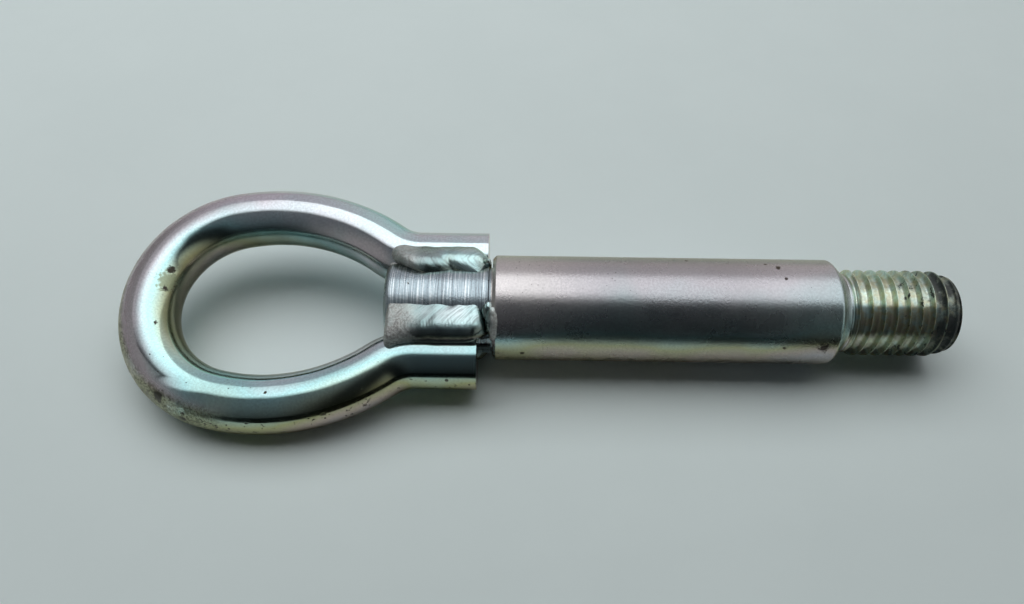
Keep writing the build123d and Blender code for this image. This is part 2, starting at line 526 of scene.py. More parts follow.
def new_tree(name, inputs):
    """Empty Geometry Nodes tree with a Geometry input, further named inputs and a Geometry output."""
    tree = bpy.data.node_groups.new(name, "GeometryNodeTree")
    tree.interface.new_socket("Geometry", in_out="INPUT", socket_type="NodeSocketGeometry")
    for label, kind in inputs:
        tree.interface.new_socket(label, in_out="INPUT", socket_type=kind)
    tree.interface.new_socket("Geometry", in_out="OUTPUT", socket_type="NodeSocketGeometry")
    return tree, tree.nodes.new("NodeGroupInput").outputs


def end_tree(tree, geometry):
    """Ends a tree: smooth shading, real meshes in place of instances, and the finish."""
    finish = tree.nodes["Group Input"].outputs["Finish"]
    smooth = add_node(tree, "GeometryNodeSetShadeSmooth", ((0, geometry),)).outputs[0]
    real = add_node(tree, "GeometryNodeRealizeInstances", ((0, smooth),)).outputs[0]
    plated = add_node(tree, "GeometryNodeSetMaterial", (("Geometry", real), ("Material", finish)))
    tree.links.new(plated.outputs[0], tree.nodes.new("NodeGroupOutput").inputs["Geometry"])


def made_by(name, blank, tree, **values):
    """Runs a tree on a blank mesh with its inputs set, and gives back an object with the plain result."""
    made = bpy.data.objects.new(name, blank)
    bpy.context.scene.collection.objects.link(made)
    modifier = made.modifiers.new(tree.name, "NODES")
    modifier.node_group = tree
    for item in tree.interface.items_tree:
        label = item.name.lower().replace(" ", "_")
        if item.in_out == "INPUT" and label in values:
            modifier[item.identifier] = values[label]
    depsgraph = bpy.context.evaluated_depsgraph_get()
    result = bpy.data.meshes.new_from_object(made.evaluated_get(depsgraph))
    made.modifiers.clear()
    made.data = result
    return made


def close_up(made, sharp_angle):
    """Merges doubles, turns the faces outwards and marks the sharp edges of a finished piece."""
    mesh = bmesh.new()
    mesh.from_mesh(made.data)
    bmesh.ops.remove_doubles(mesh, verts=mesh.verts, dist=2e-6)
    bmesh.ops.dissolve_degenerate(mesh, edges=mesh.edges, dist=1e-6)
    bmesh.ops.recalc_face_normals(mesh, faces=mesh.faces)
    mesh.to_mesh(made.data)
    mesh.free()
    made.data.set_sharp_from_angle(angle=sharp_angle)


def thread_tree():
    """Left-hand thread by rule: rows that climb round the axis, one pitch back for each turn."""
    floats = ("Start", "End", "Pitch", "Crest Row", "Radius", "Depth", "Runout Radius", "End Radius",
              "End Slope")
    tree, given = new_tree("left_hand_thread", (
        *((label, "NodeSocketFloat") for label in floats),
        ("Rows", "NodeSocketInt"), ("Steps", "NodeSocketInt"), ("Finish", "NodeSocketMaterial"),
    ))
    reach = maths(tree, "SUBTRACT", given["End"], given["Start"])
    row_step = maths(tree, "DIVIDE", given["Pitch"], given["Rows"])
    row_count = maths(tree, "DIVIDE", maths(tree, "ADD", reach, given["Pitch"]), row_step)
    row_count = maths(tree, "CEIL", row_count)
    rows_reach = times(tree, row_count, row_step)
    sheet = add_node(tree, "GeometryNodeMeshGrid", (
        ("Size X", rows_reach), ("Size Y", 1.0),
        ("Vertices X", maths(tree, "ADD", row_count, 1.0)),
        ("Vertices Y", maths(tree, "ADD", given["Steps"], 1.0)),
    )).outputs["Mesh"]
    place = split(tree, add_node(tree, "GeometryNodeInputPosition").outputs[0])
    turn = maths(tree, "ADD", place["Y"], 0.5)
    row = maths(tree, "ADD", maths(tree, "MULTIPLY_ADD", rows_reach, 0.5, place["X"]), given["Start"])
    along = maths(tree, "SUBTRACT", row, times(tree, turn, given["Pitch"]))
    along = maths(tree, "MINIMUM", most(tree, along, given["Start"]), given["End"])

    # From 0 on a crest to 1 in a root, steep beside the narrow crest and easing to a wide round root.
    phase = maths(tree, "DIVIDE", maths(tree, "SUBTRACT", row, given["Crest Row"]), given["Pitch"])
    phase = maths(tree, "FRACT", maths(tree, "ADD", phase, 100.5))
    off_crest = maths(tree, "ABSOLUTE", maths(tree, "MULTIPLY_ADD", phase, 2.0, -1.0))
    uphill = ramp(tree, off_crest, 1.0, 0.06, kind="LINEAR")
    valley = maths(tree, "SUBTRACT", 1.0, maths(tree, "POWER", uphill, 5.0))

    past_start = maths(tree, "SUBTRACT", along, given["Start"])
    fade = ramp(tree, past_start, 0.3 * MM, 2.3 * MM)
    crest = ramp(tree, past_start, 0.7 * MM, 1.9 * MM, given["Runout Radius"], given["Radius"])
    radius = maths(tree, "SUBTRACT", crest, times(tree, times(tree, given["Depth"], fade), valley))
    angle = times(tree, turn, math.tau)
    across = maths(tree, "COSINE", angle)
    upward = maths(tree, "SINE", angle)
    spot = add_node(tree, "ShaderNodeCombineXYZ", (
        (0, times(tree, along, 110.0)), (1, across), (2, upward),
    )).outputs[0]
    nick = ramp(tree, noise_value(tree, spot, 9.0, 3.0, 0.6), 0.60, 0.80)
    nick = times(tree, times(tree, nick, fade), 0.10 * MM)
    radius = maths(tree, "SUBTRACT", radius, nick)
    cone = maths(tree, "MULTIPLY_ADD", maths(tree, "SUBTRACT", given["End"], along), given["End Slope"],
                 given["End Radius"])
    radius = maths(tree, "MINIMUM", radius, cone)
    spun = add_node(tree, "ShaderNodeCombineXYZ", (
        (0, along), (1, times(tree, radius, across)), (2, times(tree, radius, upward)),
    )).outputs[0]
    thread = add_node(tree, "GeometryNodeSetPosition", (("Geometry", sheet), ("Position", spun))).outputs[0]
    whole = add_node(tree, "GeometryNodeJoinGeometry")
    tree.links.new(thread, whole.inputs[0])
    tree.links.new(given["Geometry"], whole.inputs[0])
    joined = add_node(tree, "GeometryNodeMergeByDistance", ((0, whole.outputs[0]), ("Distance", 3e-6)))
    end_tree(tree, joined.outputs[0])
    return tree


shank_zinc = shank_finish()
shank = made_by(
    "shank_turned", shank_blank(), thread_tree(),
    start=runout_start, end=chamfer_end, pitch=thread_pitch, crest_row=thread_crest_row,
    radius=thread_radius, depth=thread_radius - thread_root_radius, runout_radius=runout_radius,
    end_radius=chamfer_end_radius, end_slope=chamfer_slope, rows=thread_rows, steps=turn_steps,
    finish=shank_zinc,
)
close_up(shank, math.radians(50))
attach(shank, "root")
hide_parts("shank")


# Eye bar. One length of 12 mm round steel bar, bent cold to an eye in one plane, its two legs cut square
# and laid in the spigot's grooves. It has the same zinc plate, bright here, and worn where hooks have
# rubbed round the outside of the bow.
bow_x = spigot_end - 44.1 * MM - bar_radius
neck_radius = 12.0 * MM
neck_turn = math.radians(35.5)
side_run_on = math.radians(12.8)
side_radius = (half_eye - (far_leg_y - near_leg_y) / 2) / (1 - math.cos(neck_turn)) - neck_radius
centre_step = (side_radius - half_eye) / math.cos(side_run_on)
bow_radius = side_radius - centre_step
widest_x = bow_x + bow_radius + centre_step * math.sin(side_run_on)
bar_neck_x = widest_x + (side_radius + neck_radius) * math.sin(neck_turn)
near_leg_x = barrel_start - 3.0 * MM
far_leg_x = barrel_start - 1.1 * MM
leg_chamfer = 0.5 * MM
bar_steps = 80
bend_step = 0.9 * MM


bar_pits = (
    ((-0.1412, 0.0043, 0.0058), 0.9 * MM),
    ((-0.1420, 0.0004, 0.0046), 0.6 * MM),
    ((-0.1421, -0.0075, 0.0036), 0.45 * MM),
    ((-0.1391, -0.0181, 0.0018), 0.25 * MM),
    ((-0.1390, -0.0219, -0.0009), 1.5 * MM),
    ((-0.1414, -0.0146, 0.0027), 0.25 * MM),
    ((-0.1176, -0.0218, 0.0010), 0.4 * MM),
)
bar_smudges = (
    ((-0.1416, 0.0020, 0.0050), 2.6 * MM),
)
bar_ridge_start = Vector((-0.1408, -0.0206, -0.0005))
bar_ridge_end = Vector((-0.1285, -0.0238, 0.0002))
bar_ridge_reach = 3.2 * MM


inner_wall_shade_colour = (0.085, 0.088, 0.072, 1)
painted_shade_colour = (0.02, 0.025, 0.03, 1)
worn_low_colour = (0.44, 0.45, 0.26, 1)
worn_high_colour = (0.56, 0.48, 0.54, 1)
smudge_colour = (0.22, 0.26, 0.16, 1)
stain_colour = (0.09, 0.09, 0.06, 1)
bar_grain_colour = (0.12, 0.12, 0.13, 1)
rust_colour = (0.035, 0.03, 0.022, 1)
bar_edge_tint = (0.93, 0.90, 0.80, 1)


def ridge_height(tree, coords):
    """Height of the ridge that hooks have upset on the bow, from 1 at its start down to 0 at its end."""
    run = bar_ridge_end - bar_ridge_start
    offset = vector_maths(tree, "SUBTRACT", coords, bar_ridge_start)
    along = vector_maths(tree, "DOT_PRODUCT", offset, run / run.length_squared)
    along = maths(tree, "ADD", along, 0.0, clamp=True)
    away = vector_maths(tree, "DISTANCE", offset, scaled(tree, run, along))
    return times(tree, ramp(tree, away, bar_ridge_reach, 0.0), ramp(tree, along, 1.0, 0.2))


def bar_finish():
    """Bright zinc on drawn bar: tinted patches, drawn lines, specks, a worn edge round the bow, and painted
    shade inside the eye and on the near leg.
    """
    material, tree, shader = new_material("zinc_on_bent_bar")
    coords = place_on_piece(tree)
    place = split(tree, coords)
    outward = facing_of(tree)
    facing = split(tree, outward)
    colour = place_group(
        tree, passivate_tint, Film=ramp(tree, place["X"], -148.0 * MM, -132.0 * MM, 0.30, 0.41), Rinse=0.09,
        Sag=0.17, Lean_X=0.45, Drift_Y=-3.5, Patch_Scale=45.0, Patches=0.35, Strength=0.95)["Color"]
    marks = place_group(tree, handling_marks, Scale=140.0, Grain=1800.0)
    near_edge = ramp(tree, facing["Y"], -0.75, -0.98)
    pits = place_group(tree, plate_pits, Scale=520.0, Spread=70.0,
                       Amount=ramp(tree, near_edge, 0.0, 1.0, 0.4, 1.2))
    patchy = noise_value(tree, coords, 160.0, 5.0, 0.65)

    # The bow's outer side, worn by hooks: measured from the bow's centre in the plane of the eye.
    flat = add_node(tree, "ShaderNodeMapping", (
        ("Vector", coords), ("Location", (bow_x + bow_radius, eye_offset, 0)),
        ("Rotation", (rest_roll, 0, 0)),
    ), vector_type="TEXTURE").outputs["Vector"]
    flat = vector_maths(tree, "MULTIPLY", flat, (1, 1, 0))
    from_bow = vector_maths(tree, "LENGTH", flat)
    side = split(tree, flat)
    edge = ramp(tree, from_bow, bow_radius + 0.6 * MM, bow_radius + 4.4 * MM)
    edge = times(tree, edge, ramp(tree, side["X"], 4.0 * MM, -8.0 * MM))
    worn = times(tree, edge, ramp(tree, patchy, 0.32, 0.58, 0.45, 1.0))
    smudges = times(tree, spot_mask(tree, coords, bar_smudges), ramp(tree, patchy, 0.3, 0.6, 0.3, 0.8))

    # Painted shade on the inside of the eye, which faces the bow's centre or the middle line of the eye; it
    # is also rougher there.
    middle = add_node(tree, "ShaderNodeCombineXYZ", (
        (0, ramp(tree, side["X"], 0.0, 24.0 * MM, 0.0, 24.0 * MM, "LINEAR")),
    )).outputs[0]
    inward = vector_maths(tree, "NORMALIZE", vector_maths(tree, "SUBTRACT", middle, flat))
    level = add_node(tree, "ShaderNodeVectorRotate", (("Vector", outward), ("Angle", -rest_roll)),
                     rotation_type="X_AXIS").outputs["Vector"]
    inward = vector_maths(tree, "DOT_PRODUCT", inward, level)
    inner = times(tree, ramp(tree, inward, 0.60, 0.90), ramp(tree, patchy, 0.25, 0.6, 0.7, 1.0))
    colour = mix_colour(tree, times(tree, inner, 0.62), colour, inner_wall_shade_colour)

    # Painted shade on the near leg beside the welds, most on the faces between its top and the floor, none
    # on faces towards the floor.
    near_leg_shade = times(tree, ramp(tree, place["X"], -99.0 * MM, -88.0 * MM),
                   ramp(tree, place["Y"], 0.0, -6.0 * MM))
    near_leg_shade = times(tree, near_leg_shade, ramp(tree, facing["Z"], 0.38, 0.50))
    near_leg_shade = times(tree, near_leg_shade, ramp(tree, facing["Z"], 0.97, 0.87, 0.30, 0.68))
    colour = mix_colour(tree, near_leg_shade, colour, painted_shade_colour)

    bared = mix_colour(tree, ramp(tree, facing["Z"], 0.55, 0.80), worn_low_colour, worn_high_colour)
    colour = mix_colour(tree, times(tree, worn, 0.85), colour, bared)
    colour = mix_colour(tree, smudges, colour, smudge_colour)
    stain = most(tree, ramp(tree, noise_value(tree, coords, 700.0, 5.0, 0.7), 0.49, 0.58),
                 ramp(tree, noise_value(tree, coords, 2300.0, 3.0, 0.6), 0.50, 0.56))
    stain = times(tree, times(tree, worn, stain), ramp(tree, facing["Z"], 0.85, 0.65))
    colour = mix_colour(tree, times(tree, stain, 0.8), colour, stain_colour)
    grain = noise_value(tree, coords, 2400.0, 2.0, 0.6)
    colour = mix_colour(tree, ramp(tree, grain, 0.35, 0.65, 0.0, 0.15), colour, bar_grain_colour)
    specks = times(tree, pits["Mask"], ramp(tree, worn, 0.0, 1.0, 0.8, 1.0))
    specks = most(tree, specks, spot_mask(tree, coords, bar_pits))
    rust = times(tree, ramp(tree, facing["Y"], -0.80, -0.93),
                 ramp(tree, place["Y"], -14.0 * MM, -20.0 * MM))
    rust = times(tree, rust, ramp(tree, noise_value(tree, coords, 620.0, 3.0, 0.6), 0.61, 0.66))
    specks = most(tree, specks, times(tree, rust, 0.9))
    colour = mix_colour(tree, specks, colour, rust_colour)

    section = add_node(tree, "ShaderNodeAttribute", attribute_name="section_place").outputs["Vector"]
    along = add_node(tree, "ShaderNodeAttribute", attribute_name="along").outputs["Fac"]
    lengthwise = add_node(tree, "ShaderNodeCombineXYZ", ((2, times(tree, along, 0.035)),)).outputs[0]
    drawn = vector_maths(tree, "ADD", vector_maths(tree, "MULTIPLY", section, (1, 1, 0)), lengthwise)
    lines = noise_value(tree, drawn, 2100.0, 3.0, 0.65)

    normal = bump(tree, times(tree, patchy, worn), 0.5, 0.15 * MM)
    chafed = times(tree, noise_value(tree, coords, 900.0, 3.0, 0.7), worn)
    normal = bump(tree, chafed, 0.6, 0.10 * MM, normal)
    normal = bump(tree, ridge_height(tree, coords), 1.0, 0.55 * MM, normal)
    normal = bump(tree, lines, 0.35, 0.010 * MM, normal)
    normal = bump(tree, marks["Height"], 0.2, 0.012 * MM, normal)
    normal = bump(tree, times(tree, specks, -1.0), 0.3, 0.05 * MM, normal)
    rough = ramp(tree, marks["Mottle"], 0.3, 0.7, 0.10, 0.16)
    for mask, share in ((worn, 0.26), (smudges, 0.15), (inner, 0.10)):
        rough = maths(tree, "ADD", rough, times(tree, mask, share))
    bare = most(tree, times(tree, worn, 0.3), ramp(tree, specks, 0.2, 1.0, 0.0, 0.7))
    connect(tree, shader, Base_Color=colour, Roughness=rough, Normal=normal,
            Metallic=maths(tree, "SUBTRACT", 1.0, bare))
    shader["Specular Tint"].default_value = bar_edge_tint
    return material


def centreline():
    """Points of the bar's centreline and scales of its section, from the far leg's end to the near's."""
    place = Vector((far_leg_x, far_leg_y, 0))
    heading = math.pi
    points = [place.copy()]
    for share in (0.3, 1.0, 1.5):
        points.append(place - Vector((leg_chamfer * share, 0, 0)))
    place = Vector((bar_neck_x, far_leg_y, 0))
    points.append(place.copy())
    side_bend = (side_radius, neck_turn + side_run_on)
    neck_bend = (neck_radius, -neck_turn)
    bends = (neck_bend, side_bend, (bow_radius, math.pi - 2 * side_run_on), side_bend, neck_bend)
    for radius, turn in bends:
        steps = math.ceil(radius * abs(turn) / bend_step)
        for _ in range(steps):
            chord = 2 * radius * math.sin(abs(turn) / steps / 2)
            heading += turn / steps / 2
            place = place + chord * Vector((math.cos(heading), math.sin(heading), 0))
            heading += turn / steps / 2
            points.append(place.copy())
    leg_end = Vector((near_leg_x, near_leg_y, 0))
    for share in (1.5, 1.0, 0.3, 0.0):
        points.append(leg_end - Vector((leg_chamfer * share, 0, 0)))
    scales = [1.0] * len(points)
    for count, share in enumerate((1.0, 0.45)):
        scales[count] = scales[-1 - count] = 1 - leg_chamfer * share / bar_radius
    return points, scales


def centreline_mesh():
    """Chain of edges along the centreline, turned to the rest pose, with the section's scale stored."""
    points, scales = centreline()
    turned = [Matrix.Rotation(rest_roll, 3, "X") @ point for point in points]
    made = bpy.data.meshes.new("eye_bar")
    made.from_pydata(turned, [(step, step + 1) for step in range(len(turned) - 1)], [])
    made.attributes.new("section_scale", "FLOAT", "POINT").data.foreach_set("value", scales)
    return made


def stored(tree, name, kind):
    """Value of an attribute stored on the geometry."""
    made = add_node(tree, "GeometryNodeInputNamedAttribute", (("Name", name),), data_type=kind)
    return made.outputs["Attribute"]


def bar_tree():
    """Round section swept along the centreline, with the slight unevenness of bar bent cold."""
    tree, given = new_tree("bent_bar", (
        ("Radius", "NodeSocketFloat"), ("Steps", "NodeSocketInt"), ("Unevenness", "NodeSocketFloat"),
        ("Finish", "NodeSocketMaterial"),
    ))
    line = add_node(tree, "GeometryNodeMeshToCurve", ((0, given["Geometry"]),)).outputs[0]
    scale = stored(tree, "section_scale", "FLOAT")
    line = add_node(tree, "GeometryNodeSetCurveRadius", (("Curve", line), ("Radius", scale))).outputs[0]
    way = add_node(tree, "GeometryNodeSplineParameter").outputs["Length"]
    line = add_node(tree, "GeometryNodeStoreNamedAttribute", (
        ("Geometry", line), ("Name", "along"), ("Value", way),
    ), data_type="FLOAT").outputs[0]
    section = add_node(tree, "GeometryNodeCurvePrimitiveCircle", (
        ("Resolution", given["Steps"]), ("Radius", given["Radius"]),
    )).outputs["Curve"]
    section_place = add_node(tree, "GeometryNodeInputPosition").outputs[0]
    section = add_node(tree, "GeometryNodeStoreNamedAttribute", (
        ("Geometry", section), ("Name", "section_place"), ("Value", section_place),
    ), data_type="FLOAT_VECTOR").outputs[0]
    swept = add_node(tree, "GeometryNodeCurveToMesh", (
        ("Curve", line), ("Profile Curve", section), ("Fill Caps", True),
    )).outputs[0]
    place = add_node(tree, "GeometryNodeInputPosition").outputs[0]
    uneven = maths(tree, "SUBTRACT", noise_value(tree, place, 130.0, 2.0, 0.5), 0.62)
    uneven = times(tree, uneven, given["Unevenness"])
    outward = add_node(tree, "GeometryNodeInputNormal").outputs[0]
    uneven_bar = add_node(tree, "GeometryNodeSetPosition", (
        ("Geometry", swept), ("Offset", scaled(tree, outward, uneven)),
    )).outputs[0]
    end_tree(tree, uneven_bar)
    return tree


bar_zinc = bar_finish()
eye_bar = made_by(
    "eye_bar_bent", centreline_mesh(), bar_tree(),
    radius=bar_radius, steps=bar_steps, unevenness=0.10 * MM, finish=bar_zinc,
)
close_up(eye_bar, math.radians(50))
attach(eye_bar, "root")
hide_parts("eye_bar")


# Weld beads. Four fillets of arc weld in the valleys between the legs and the spigot, two on top and two
# underneath. Each was laid in two passes, the second lapping over the end of the first, and drops of
# spatter stuck beside them. They are plated with the rest.
bead_low = spigot_end + 0.3 * MM
bead_high = barrel_start - 0.4 * MM
bead_steps = 190
bead_points = 40
lap_softness = 0.28 * MM
valley = Vector((7.67 * MM, 4.6 * MM))
below_valley = Vector((7.67 * MM, 3.4 * MM))
ripple_length = 0.62 * MM
ripple_height = 0.016 * MM


dull_weld_colour = (0.66, 0.68, 0.68, 1)
weld_pit_colour = (0.06, 0.06, 0.05, 1)
weld_speckle_colour = (0.17, 0.15, 0.14, 1)
feather_colour = (0.10, 0.11, 0.11, 1)
weld_edge_tint = (0.93, 0.90, 0.72, 1)


def weld_finish():
    """Zinc over weld metal: glossy humps, dull and grainy where the first pass started, and painted shade
    on the near beads where they turn away from the top.
    """
    material, tree, shader = new_material("zinc_on_weld")
    coords = place_on_piece(tree)
    place = split(tree, coords)
    facing = split(tree, facing_of(tree))
    tint = place_group(tree, passivate_tint, Film=0.45, Rinse=0.08, Sag=0.30, Patch_Scale=110.0,
                       Patches=0.4, Strength=0.7)["Color"]
    marks = place_group(tree, handling_marks, Scale=300.0, Grain=1500.0)
    pits = place_group(tree, plate_pits, Scale=1300.0, Spread=200.0, Amount=0.45)
    patchy = noise_value(tree, coords, 350.0, 3.0, 0.6)
    early = ramp(tree, place["X"], bead_low + 8.5 * MM, bead_low + 3.0 * MM)
    early = most(tree, early, ramp(tree, place["X"], bead_high - 0.4 * MM, bead_high + 0.6 * MM))
    dull = times(tree, early, ramp(tree, patchy, 0.3, 0.6, 0.5, 1.0))
    tint = mix_colour(tree, ramp(tree, place["X"], -88.0 * MM, -80.0 * MM, 0.48, 0.14), tint, black)
    # Painted shade on the near beads where they turn away from the top.
    near_flank_shade = times(tree, ramp(tree, facing["Z"], 0.90, 0.78), ramp(tree, place["Y"], 0.0, -3.0 * MM))
    tint = mix_colour(tree, times(tree, near_flank_shade, 0.6), tint, painted_shade_colour)
    colour = mix_colour(tree, times(tree, dull, 0.85), tint, dull_weld_colour)
    colour = mix_colour(tree, times(tree, pits["Mask"], 0.7), colour, weld_pit_colour)
    grain = noise_value(tree, coords, 2300.0, 3.0, 0.7)
    speckle = times(tree, dull, ramp(tree, grain, 0.42, 0.6))
    colour = mix_colour(tree, times(tree, speckle, 0.55), colour, weld_speckle_colour)

    # Feathered lines that trail back on both sides of each pass.
    across = add_node(tree, "ShaderNodeAttribute", attribute_name="across").outputs["Fac"]
    bowed = maths(tree, "POWER", maths(tree, "ABSOLUTE", maths(tree, "SUBTRACT", across, 0.45)), 1.5)
    trail = maths(tree, "MULTIPLY_ADD", bowed, -13.0 * MM, place["X"])
    trail = add_node(tree, "ShaderNodeCombineXYZ", ((0, trail), (1, times(tree, across, 1.2 * MM))))
    feathers = noise_value(tree, trail.outputs[0], 1700.0, 4.0, 0.65)
    feathered = times(tree, ramp(tree, feathers, 0.45, 0.62), ramp(tree, patchy, 0.35, 0.6, 0.10, 0.5))
    colour = mix_colour(tree, feathered, colour, feather_colour)
    normal = bump(tree, grain, ramp(tree, dull, 0.0, 1.0, 0.12, 1.0), 0.16 * MM)
    normal = bump(tree, feathers, 0.6, 0.10 * MM, normal)
    normal = bump(tree, marks["Height"], 0.2, 0.015 * MM, normal)
    rough = ramp(tree, marks["Mottle"], 0.3, 0.7, 0.16, 0.26)
    rough = maths(tree, "ADD", rough, times(tree, dull, 0.28))
    connect(tree, shader, Base_Color=colour, Roughness=rough, Normal=normal,
            Metallic=ramp(tree, dull, 0.0, 1.0, 1.0, 0.35))
    shader["Specular Tint"].default_value = weld_edge_tint
    return material


def bezier(points, share):
    """Point of a cubic curve with four control points."""
    rest = 1 - share
    weights = (rest ** 3, 3 * rest ** 2 * share, 3 * rest * share ** 2, share ** 3)
    return sum((point * weight for point, weight in zip(points, weights)), Vector((0, 0)))


def hump(toes, rise, rise_reach, fall, fall_reach, across):
    """Point of a full hump, outward and upward, between its toes on the spigot (0) and on the leg (1)."""
    leg_y, spigot_toe, leg_toe = toes
    first = spigot_radius * Vector((math.sin(spigot_toe), math.cos(spigot_toe)))
    last = Vector((abs(leg_y) - bar_radius * math.sin(leg_toe), bar_radius * math.cos(leg_toe)))
    rising = rise_reach * Vector((math.cos(rise), math.sin(rise)))
    falling = fall_reach * Vector((math.cos(fall), -math.sin(fall)))
    return bezier((first, first + rising, last - falling, last), across)


def swell_at(x, across, ends):
    """How full a pass is at a place, from 0 at its round ends to 1 along its run."""
    start, start_nose, start_tip, start_length, stop, stop_nose, stop_tip, stop_length = ends
    from_start = (x - start - start_nose * (across - start_tip) ** 2) / start_length
    to_stop = (stop - stop_nose * (across - stop_tip) ** 2 - x) / stop_length
    inside = max(0, min(from_start, to_stop, 1))
    return math.sqrt(1 - (1 - inside) ** 2)


def carrier_shift(x, across):
    """How the bead follows the spigot's round rim and the leg as it bends away."""
    rim = max(0, min(1, 1 - (x - spigot_end) / spigot_round))
    drop = spigot_round * (1 - math.sqrt(1 - rim ** 2)) * (1 - across)
    past_neck = max(0, bar_neck_x - x)
    return Vector(((neck_radius - math.sqrt(neck_radius ** 2 - past_neck ** 2)) * across, -drop))


def weld_bead(name, toes, face, passes, seed):
    """Closed bead along one valley: the fuller of its passes at each place, with faint trailing ripples."""
    side = math.copysign(1, toes[0])
    main_shape = passes[-1][0]
    mesh = bmesh.new()
    across_layer = mesh.verts.layers.float.new("across")
    rings = []
    for step in range(bead_steps + 1):
        x = bead_low + (bead_high - bead_low) * step / bead_steps
        uneven = 1 + 0.04 * noise.noise((x / (2.5 * MM), seed, 0.3))
        ring = []
        for number in range(bead_points + 1):
            across = number / bead_points
            ray = (hump(toes, *main_shape, across) - below_valley).normalized()
            reaches = []
            for shape, ends in passes:
                spot = valley.lerp(hump(toes, *shape, across), swell_at(x, across, ends) * uneven)
                reaches.append((spot - below_valley).length)
            apart = abs(reaches[0] - reaches[1])
            reach = max(reaches) + max(0, lap_softness - apart) ** 2 / (4 * lap_softness)
            middle = 4 * across * (1 - across)
            trail = x - 1.2 * MM * middle + 0.25 * MM * noise.noise((x / (1.2 * MM), across * 3, seed))
            patchy = max(0, 0.5 + 1.5 * noise.noise((x / (2.2 * MM), across * 3, seed + 5)))
            reach += ripple_height * math.sin(math.tau * trail / ripple_length) * middle * patchy
            spot = below_valley + ray * reach + carrier_shift(x, across)
            ring.append(mesh.verts.new((x, side * spot.x, face * spot.y)))
            ring[-1][across_layer] = across
        ring.append(mesh.verts.new((x, side * below_valley.x, face * below_valley.y)))
        rings.append(ring)
    skin(mesh, rings)
    for cap in (rings[0], rings[-1]):
        mesh.faces.new(cap)
    bmesh.ops.transform(mesh, matrix=Matrix.Rotation(rest_roll, 4, "X"), verts=mesh.verts)
    for face_made in mesh.faces:
        face_made.smooth = True
    made = bpy.data.objects.new(name, bpy.data.meshes.new(name))
    bpy.context.scene.collection.objects.link(made)
    mesh.to_mesh(made.data)
    mesh.free()
    made.data.materials.append(weld_zinc)
    close_up(made, math.radians(60))
    return made


weld_zinc = weld_finish()
near_toes = (near_leg_y, math.radians(20), math.radians(16))
near_passes = (
    ((math.radians(7), 3.5 * MM, math.radians(88), 3.1 * MM),
     (bead_low, 0.0, 0.5, 1.4 * MM, -75.5 * MM, 6.0 * MM, 0.4, 8.0 * MM)),
    ((math.radians(11), 3.8 * MM, math.radians(85), 3.4 * MM),
     (-91.0 * MM, 16.0 * MM, 0.6, 5.0 * MM, bead_high, 3.2 * MM, 0.2, 3.4 * MM)),
)
far_toes = (far_leg_y, math.radians(27.5), math.radians(-3))
far_passes = (
    ((math.radians(58), 1.9 * MM, math.radians(50), 4.2 * MM),
     (bead_low, 6.0 * MM, 0.9, 3.5 * MM, -79.5 * MM, 0.0, 0.5, 9.0 * MM)),
    ((math.radians(6), 2.4 * MM, math.radians(52), 4.5 * MM),
     (-93.0 * MM, 9.0 * MM, 1.0, 9.0 * MM, bead_high, 3.0 * MM, 0.4, 3.0 * MM)),
)
for bead_name, toes, face, passes, seed in (
    ("weld_top_near", near_toes, 1, near_passes, 1.0),
    ("weld_top_far", far_toes, 1, far_passes, 2.0),
    ("weld_under_near", near_toes, -1, near_passes, 3.0),
    ("weld_under_far", far_toes, -1, far_passes, 4.0),
):
    bead = weld_bead(f"{bead_name}_bead", toes, face, passes, seed)
    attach(bead, "root")
    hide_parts(bead_name)


def on_shank(x, radius, angle):
    """Place on a cylinder about the shank's axis, with the angle from +Y towards +Z in degrees."""
    turn = math.radians(angle)
    return (x, radius * math.cos(turn), radius * math.sin(turn))


def spatter_mesh(drops):
    """Points for drops of spatter, with each drop's half lengths and its turn about the shank stored."""
    made = bpy.data.meshes.new("weld_spatter")
    made.from_pydata([on_shank(*place) for place, _ in drops], [], [])
    sizes = [half for _, halves in drops for half in halves]
    turns = [value for (_, _, angle), _ in drops for value in (math.radians(angle - 90), 0.0, 0.0)]
    made.attributes.new("drop_size", "FLOAT_VECTOR", "POINT").data.foreach_set("vector", sizes)
    made.attributes.new("drop_turn", "FLOAT_VECTOR", "POINT").data.foreach_set("vector", turns)
    return made


def spatter_tree():
    """A lumpy drop on each point, stretched and turned as stored there."""
    tree, given = new_tree("weld_spatter", (("Lumps", "NodeSocketFloat"), ("Finish", "NodeSocketMaterial")))
    size = stored(tree, "drop_size", "FLOAT_VECTOR")
    turn = stored(tree, "drop_turn", "FLOAT_VECTOR")
    drop = add_node(tree, "GeometryNodeMeshIcoSphere", (("Radius", 1.0), ("Subdivisions", 5)))
    drops = add_node(tree, "GeometryNodeInstanceOnPoints", (
        ("Points", given["Geometry"]), ("Instance", drop.outputs["Mesh"]),
        ("Rotation", turn), ("Scale", size),
    )).outputs[0]
    drops = add_node(tree, "GeometryNodeRealizeInstances", ((0, drops),)).outputs[0]
    place = add_node(tree, "GeometryNodeInputPosition").outputs[0]
    lump = maths(tree, "SUBTRACT", noise_value(tree, place, 650.0, 3.0, 0.6), 0.5)
    outward = add_node(tree, "GeometryNodeInputNormal").outputs[0]
    shift = scaled(tree, outward, times(tree, lump, given["Lumps"]))
    lumpy = add_node(tree, "GeometryNodeSetPosition", (("Geometry", drops), ("Offset", shift))).outputs[0]
    end_tree(tree, lumpy)
    return tree


